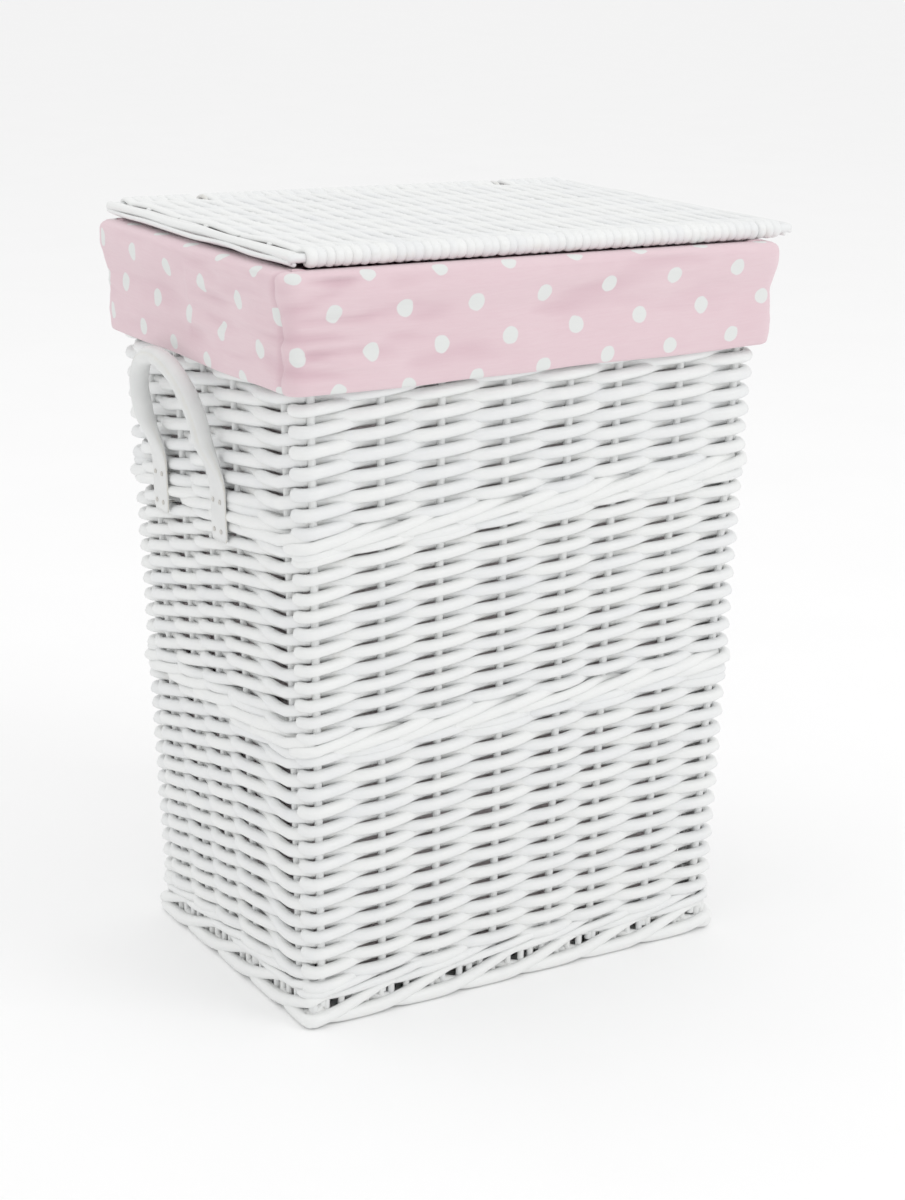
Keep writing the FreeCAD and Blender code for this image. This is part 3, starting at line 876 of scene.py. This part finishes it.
def strap_handle(name, side):
    """One strap: a flat tab nailed on, a rolled loop, and the other flat tab."""
    tab_low, tab_high = node_box("handle_tabs_" + name)
    y_middle = (tab_low[1] + tab_high[1]) / 2
    lean = math.radians(12.5)
    z_low, z_high = tab_low[2], tab_high[2]
    strap_thickness = 2.4

    def on_wall(z):
        return wall_half(z)[0] + wall_skin + 0.5 + strap_thickness / 2

    x_hinge = on_wall(z_high) + hinge_gap
    leg = 25.0
    half_arch = 24
    centre = []
    leaves_wall = z_low + 30
    joins_leg = z_high + 22
    for z in np.linspace(z_low, joins_leg, 26):
        t = np.clip((z - leaves_wall) / (joins_leg - leaves_wall), 0, 1)
        ease = t * t * (3 - 2 * t)
        on_leg = x_hinge + (z - z_high) * math.tan(lean)
        centre.append((on_wall(z) * (1 - ease) + on_leg * ease, -loop_radius, z))
    for k in range(half_arch + 1):
        a = math.pi / 2 * k / half_arch
        up = leg + loop_radius * math.sin(a)
        centre.append((x_hinge + up * math.sin(lean), -loop_radius * math.cos(a),
                       z_high + 0.5 + up * math.cos(lean)))
    centre = np.array(centre)
    other = centre[-2::-1].copy()
    other[:, 1] *= -1
    centre = np.vstack([centre, other])
    centre[:, 0] *= side
    centre[:, 1] += y_middle
    n = len(centre)
    ahead = np.gradient(centre, axis=0)
    ahead /= np.linalg.norm(ahead, axis=1)[:, None]
    steps = np.linalg.norm(np.diff(centre, axis=0), axis=1)
    arc = np.concatenate([[0], np.cumsum(steps)])
    from_end = np.minimum(arc, arc[-1] - arc)
    roll = np.clip((from_end - 26) / 54, 0, 1)
    roll = roll * roll * (3 - 2 * roll)
    # out points away from the wall, across runs over the strap's width
    out = np.broadcast_to(np.array([side * math.cos(lean), 0, -math.sin(lean)]), (n, 3))
    out = out - ahead * (out * ahead).sum(1)[:, None]
    out /= np.linalg.norm(out, axis=1)[:, None]
    across = np.cross(ahead, out)
    flat_width = np.interp(from_end, (0, 3, 40, 80), (9.0, 10.4, 10.8, 7.5))
    width = flat_width * (1 - roll) + loop_half_width * roll
    thick = strap_thickness / 2 * (1 - roll) + loop_half_thick * roll
    sides = 28
    turn = 2 * math.pi * np.arange(sides) / sides
    points = []
    edge = []
    for k in range(n):
        # flat strap: nearly rectangular; rolled strap: round, with a groove where its edges meet
        power = 0.35 + 0.65 * roll[k]
        cos, sin = np.cos(turn), np.sin(turn)
        a = np.sign(cos) * np.abs(cos) ** power * width[k]
        b = np.sign(sin) * np.abs(sin) ** (0.6 + 0.4 * roll[k]) * thick[k]
        groove = roll[k] * 1.1 * np.exp(-((turn - math.pi * 0.5 + 0.6) / 0.16) ** 2)
        scale = 1 - groove / loop_half_thick
        scale = scale * (1 + 0.02 * math.sin(arc[k] * 0.21))
        points.append(centre[k] + across[k] * (a * scale)[:, None] + out[k] * (b * scale)[:, None])
        edge.append(np.clip((np.abs(cos) - 0.97) * 30, 0, 1) * (1 - roll[k]) + groove * 0.4)
    points = np.array(points)
    count = n * sides
    k, j = np.meshgrid(np.arange(n - 1), np.arange(sides), indexing="ij")
    j2 = (j + 1) % sides
    faces = np.stack([k * sides + j, (k + 1) * sides + j, (k + 1) * sides + j2, k * sides + j2], -1)
    faces = faces.reshape(-1, 4).tolist()
    grain = np.stack([np.stack([arc[k], j], -1), np.stack([arc[k + 1], j], -1),
                      np.stack([arc[k + 1], j + 1], -1), np.stack([arc[k], j + 1], -1)], 2)
    grain = grain.reshape(-1, 2) * MM
    faces.append(list(range(sides)))
    faces.append(list(range(count - sides, count))[::-1])
    grain = np.vstack([grain, np.zeros((2 * sides, 2))])
    obj = new_mesh_object("strap_" + name, points.reshape(-1, 3), faces, grain)
    put_attribute(obj, "edge", np.concatenate(edge))
    obj.data.materials.append(materials["white_strap"])
    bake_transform(obj)
    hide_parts("handle_tabs_" + name, "handle_loop_" + name)
    return obj


for handle_name, handle_side in (("left", -1), ("right", 1)):
    strap_handle(handle_name, handle_side)


# ---- lid ---------------------------------------------------------------------------------------
def lid_weave():
    """Rods from front to back, over and under the sticks, each wrapped round both frame rods."""
    low, high = node_box("lid_weave")
    front_low, front_high = node_box("lid_rod_front")
    back_low, back_high = node_box("lid_rod_back")
    frame_radius = (front_high[2] - front_low[2]) / 2
    z = (front_low[2] + front_high[2]) / 2
    y_front = (front_low[1] + front_high[1]) / 2
    y_back = (back_low[1] + back_high[1]) / 2
    sticks_low, sticks_high = node_box("lid_sticks")
    stick_radius = (sticks_high[2] - sticks_low[2]) / 2
    stick_y = np.linspace(sticks_low[1] + stick_radius, sticks_high[1] - stick_radius, 5)
    rings = [(a[0] + b[0]) / 2 for a, b in (node_box("hinge_ring_left"), node_box("hinge_ring_right"))]
    half_thick = 1.9
    lift = 0.85
    crown = 2.6
    wrap = frame_radius + half_thick - 0.45
    pitch = 6.1
    count = int((high[0] - low[0]) / pitch)
    pitch = (high[0] - low[0]) / count
    strands = Strands()
    for i in range(count):
        x = low[0] + (i + 0.5) * pitch
        s = 1 if i % 2 else -1
        keys = [(y_front + 15, -s * 1.2), (y_front + 5, -s * (wrap - 0.6)), (y_front, -s * wrap),
                (y_front - wrap * 0.72, -s * wrap * 0.7), (y_front - wrap, 0),
                (y_front - wrap * 0.72, s * wrap * 0.7), (y_front, s * wrap),
                (y_front + 9, crown + s * 0.9)]
        for k, y in enumerate(stick_y):
            keys.append((y, crown - s * (-1) ** k * lift))
        keys += [(y_back - 9, crown + s * 0.9), (y_back, s * wrap),
                 (y_back + wrap * 0.72, s * wrap * 0.7),
                 (y_back + wrap, 0), (y_back + wrap * 0.72, -s * wrap * 0.7), (y_back, -s * wrap),
                 (y_back - 5, -s * (wrap - 0.6)), (y_back - 15, -s * 1.2)]
        path = through([(x, y, z + dz) for y, dz in keys], 2.8)
        t = np.arange(len(path))
        path[:, 0] += wander(t, len(path), 0.45, 1, 4)
        path[:, 2] += lid_rise(x)
        # rods near a ring move aside and leave a gap for it
        for ring in rings:
            near = np.clip((path[:, 1] - y_back + 34) / 22, 0, 1)
            aside = x - ring
            if abs(aside) < 18:
                pushed = math.copysign(5.3 + abs(aside) * (1 - 5.3 / 18), aside)
                path[:, 0] += (pushed - aside) * near
        half_width = 3.6 * (1 + wander(t, len(path), 0.08, 1, 4))
        from_middle = np.abs(path[:, 1] - (y_front + y_back) / 2)
        at_edge = np.clip((from_middle - (y_back - y_front) / 2 + 4) / 6, 0, 1)
        half_width = half_width * (1 + 0.06 * at_edge)
        recess = np.clip((crown + z + lid_rise(x) - path[:, 2]) / 3, 0, 1)
        strands.add(path, half_thick, half_width, (1, 0, 0), recess=recess)
    for y in stick_y:
        x = np.linspace(low[0] - 1.5, high[0] + 1.5, 60)
        line = np.column_stack([x, np.full(60, y), z + crown + lid_rise(x)])
        strands.add(line, 2.6, 1.0, (0, 0, 1))
    for (rod_low, rod_high), wave in (((front_low, front_high), 0.5), ((back_low, back_high), 0.4)):
        x = np.linspace(rod_low[0] + 2, rod_high[0] - 2, 90)
        y = (rod_low[1] + rod_high[1]) / 2 + wander(x, rod_high[0] - rod_low[0], wave, 1, 4)
        strands.add(np.column_stack([x, y, z + lid_rise(x)]), frame_radius, frame_radius, (0, 0, 1))
    replaced = ["lid_weave", "lid_sticks", "lid_rod_front", "lid_rod_back"]
    return strands.make("lid_weave_rods", "lid", replaced)


def lid_end_rods(name, side):
    """Rods side by side at one end of the lid, bowed apart here and there."""
    node = "lid_end_rods_" + name
    low, high = node_box(node)
    z = (low[2] + high[2]) / 2
    radius = (high[2] - low[2]) / 2
    outer = high[0] if side > 0 else low[0]
    y = np.linspace(low[1] - 3.0, high[1] + 3.0, 90)
    share = (y - y[0]) / (y[-1] - y[0])
    strands = Strands()
    bow = np.sin(math.pi * share)
    # each rod's inset from the lid's end, height, outward bow, and thickness as a share
    for inset, height, bend, thick in ((2.8, 0.8, 0.0, 0.95), (8.6, -0.4, -0.3, 1.0),
                                       (5.2, -3.6, 1.2, 0.62), (0.6, -2.4, 1.6, 0.55)):
        x = outer - side * (inset - bend * bow) + wander(y - y[0], y[-1] - y[0], 0.5, 1, 5)
        level = z + height + lid_rise(outer) + wander(y - y[0], y[-1] - y[0], 0.45, 1, 5)
        half = radius * thick * (1 + wander(y - y[0], y[-1] - y[0], 0.05, 1, 5))
        strands.add(np.column_stack([x, y, level]), half, half, (0, 0, 1))
    return strands.make(node + "_strands", "lid", [node])


lid_weave()
lid_end_rods("left", -1)
lid_end_rods("right", 1)


# ---- hinge rings -------------------------------------------------------------------------------
def hinge_ring(name):
    """A ring of cane, its two ends overlapping under the lid."""
    slack, drop = 0.9, 1.2      # how much tighter and lower it lies than the CAD ring
    node = "hinge_ring_" + name
    low, high = node_box(node)
    middle = (low + high) / 2
    radius = (high[0] - low[0]) / 2
    ring_radius = (high[2] - low[2]) / 2 - radius - slack
    middle[2] += lid_rise(middle[0]) - drop
    turn = np.linspace(-0.15, 2 * math.pi + 0.25, 60) - math.pi / 2
    grow = 1 + 0.012 * np.sin(3 * turn)
    drift = np.linspace(-0.5, 0.5, len(turn))
    path = np.column_stack([middle[0] + drift, middle[1] + ring_radius * grow * np.cos(turn),
                            middle[2] + ring_radius * grow * np.sin(turn)])
    strands = Strands()
    strands.add(path, radius * 0.92, radius * 0.92, (1, 0, 0))
    return strands.make(node + "_cane", "basket", [node], "hinge_cane")


hinge_ring("left")
hinge_ring("right")

# ---- CAD pieces that stay ----------------------------------------------------------------------
for node in ("stakes_front", "stakes_back", "stakes_left", "stakes_right", "base_sticks"):
    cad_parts[node].data.materials.clear()
    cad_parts[node].data.materials.append(plain_willow)
for node in ("handle_tacks_left", "handle_tacks_right"):
    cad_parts[node].data.materials.clear()
    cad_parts[node].data.materials.append(tack_material)

# ---- studio ------------------------------------------------------------------------------------
floor_mesh = bpy.data.meshes.new("floor")
floor_mesh.from_pydata([(-40, -40, 0), (40, -40, 0), (40, 40, 0), (-40, 40, 0)], [], [(0, 1, 2, 3)])
floor = bpy.data.objects.new("floor", floor_mesh)
bpy.context.scene.collection.objects.link(floor)
floor_mesh.materials.append(studio_floor("studio_floor"))

world = bpy.data.worlds.new("studio")
bpy.context.scene.world = world
world.use_nodes = True
world.node_tree.nodes["Background"].inputs["Color"].default_value = (1.0, 1.0, 1.0, 1)
world.node_tree.nodes["Background"].inputs["Strength"].default_value = 0.90


def area_light(name, place, power, size, target):
    lamp = bpy.data.lights.new(name, "AREA")
    lamp.energy = power
    lamp.size = size
    obj = bpy.data.objects.new(name, lamp)
    bpy.context.scene.collection.objects.link(obj)
    obj.location = place
    obj.rotation_euler = (Vector(target) - Vector(place)).to_track_quat("-Z", "Y").to_euler()


area_light("key", (1.6, -2.6, 2.6), 22, 1.6, (0, 0, 0.3))
area_light("top", (-0.6, 0.4, 3.0), 8, 2.0, (0, 0, 0.3))

bpy.context.scene.view_settings.view_transform = "Standard"
bpy.context.scene.view_settings.gamma = 1.25

camera_azimuth = -31.09
camera_elevation = 16.634
camera_roll = 0.28
camera_place = Vector((-0.849, -1.432, 0.7405))
camera_data = bpy.data.cameras.new("camera")
camera_data.lens = 73.88
camera_data.sensor_width = 36
camera = bpy.data.objects.new("camera", camera_data)
bpy.context.scene.collection.objects.link(camera)
aim = (Matrix.Rotation(math.radians(camera_azimuth), 4, "Z")
       @ Matrix.Rotation(math.radians(90 - camera_elevation), 4, "X")
       @ Matrix.Rotation(math.radians(camera_roll), 4, "Z"))
camera.matrix_world = Matrix.Translation(camera_place + centre_line) @ aim
bpy.context.scene.camera = camera
